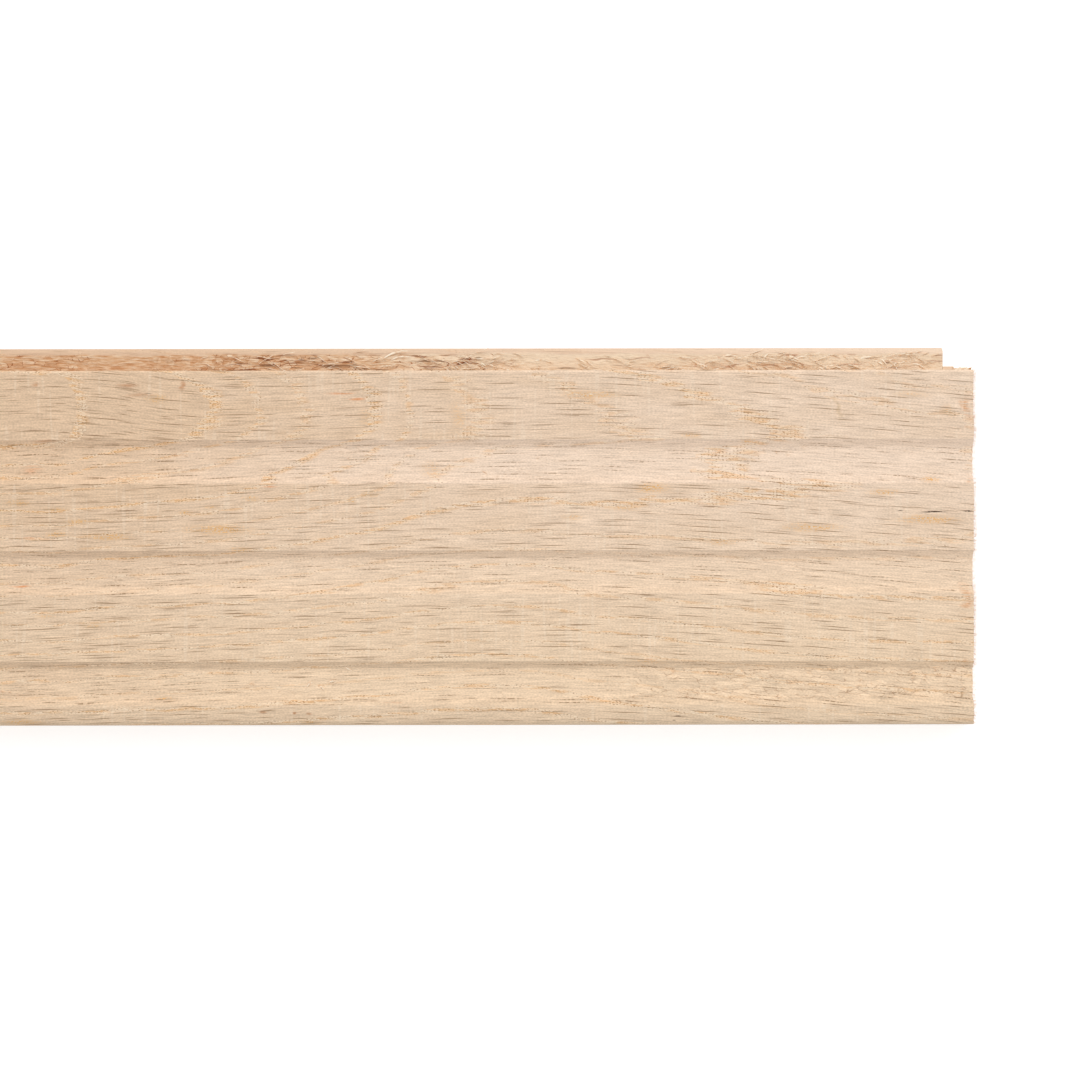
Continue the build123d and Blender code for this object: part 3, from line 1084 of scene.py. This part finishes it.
def makeLongSlivers(material):  # all of them in one mesh
    rounds, corners = lifted["curlRounds"], lifted["curlCorners"]
    points, faces = [], []
    for curl in lifted["curls"]:
        first = len(points)
        for n in range(rounds):
            points += curlRing(curl, n / (rounds - 1))
        for n in range(rounds - 1):
            for corner in range(corners):
                a = first + n * corners + corner
                b = first + n * corners + (corner + 1) % corners
                faces.append((a, b, b + corners, a + corners))
        faces.append([first + corner for corner in reversed(range(corners))])
        faces.append([first + (rounds - 1) * corners + corner for corner in range(corners)])
    mesh = bpy.data.meshes.new("longSlivers")
    mesh.from_pydata(points, [], faces)
    mesh.materials.append(material)
    mesh.shade_smooth()
    piece = addObject("longSlivers", mesh)
    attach(piece, "root")


liftedFibre = makeTornFibre()
growSlivers("flankSlivers", onFlank, lifted["flank"], liftedFibre)
growSlivers("channelFlakes", inChannels, lifted["channels"], liftedFibre)
growSlivers("endFuzz", atGroovedEnd, lifted["end"], liftedFibre)
makeLongSlivers(liftedFibre)


# Floor and light

studio = {
    "sky": 0.8,
    "lamp": 13.6,
    "lampSize": 1.0,
    "lampPlace": (0.35, 1.44, 1.76),
    "floorReach": 4.0,
    "floorGlow": 0.42,
    "paper": (0.9, 0.9, 0.9, 1),
    "white": (1, 1, 1, 1),
}


def seenRays(tree):             # 1 where the camera looks, straight or by a shine, and 0 for light
    rays = tree.nodes.new("ShaderNodeLightPath")
    seen, glossy, through = [
        Field(tree, rays.outputs[name])
        for name in ("Is Camera Ray", "Is Glossy Ray", "Is Transmission Ray")
    ]
    return most(seen, most(glossy, through))


def makeSky():                  # white to look at, dimmer as light
    world = bpy.data.worlds.new("sky")
    bpy.context.scene.world = world
    world.use_nodes = True
    tree = world.node_tree
    strength = studio["sky"] + seenRays(tree) * (1 - studio["sky"])
    background = tree.nodes["Background"]
    background.inputs["Color"].default_value = studio["white"]
    tree.links.new(strength.socket, background.inputs["Strength"])


def makeSoftbox():
    lamp = bpy.data.lights.new("softbox", "AREA")
    lamp.energy = studio["lamp"]
    lamp.size = studio["lampSize"]
    softbox = addObject("softbox", lamp)
    softbox.location = studio["lampPlace"]
    aim = -softbox.location
    softbox.rotation_euler = aim.to_track_quat("-Z", "Y").to_euler()


def makeFloor():                # white paper that glows a little where it is looked at
    reach = studio["floorReach"]
    corners = [(-reach, -reach, 0), (reach, -reach, 0), (reach, reach, 0), (-reach, reach, 0)]
    mesh = bpy.data.meshes.new("floor")
    mesh.from_pydata(corners, [], [(0, 1, 2, 3)])
    material = bpy.data.materials.new("paper")
    material.use_nodes = True
    tree = material.node_tree
    tree.nodes.clear()
    diffuse = addNode(tree, "ShaderNodeBsdfDiffuse", {"Color": studio["paper"]})
    shine = {"Color": studio["white"], "Strength": studio["floorGlow"]}
    glow = addNode(tree, "ShaderNodeEmission", shine)
    paint = Field(tree, diffuse.outputs[0])
    both = addNode(tree, "ShaderNodeAddShader", {0: paint, 1: Field(tree, glow.outputs[0])})
    choice = {0: seenRays(tree), 1: paint, 2: Field(tree, both.outputs[0])}
    pick = addNode(tree, "ShaderNodeMixShader", choice)
    out = tree.nodes.new("ShaderNodeOutputMaterial")
    tree.links.new(pick.outputs[0], out.inputs[0])
    mesh.materials.append(material)
    addObject("floor", mesh)


makeSky()
makeSoftbox()
makeFloor()
bpy.context.scene.view_settings.view_transform = "Standard"
print("studio lit")
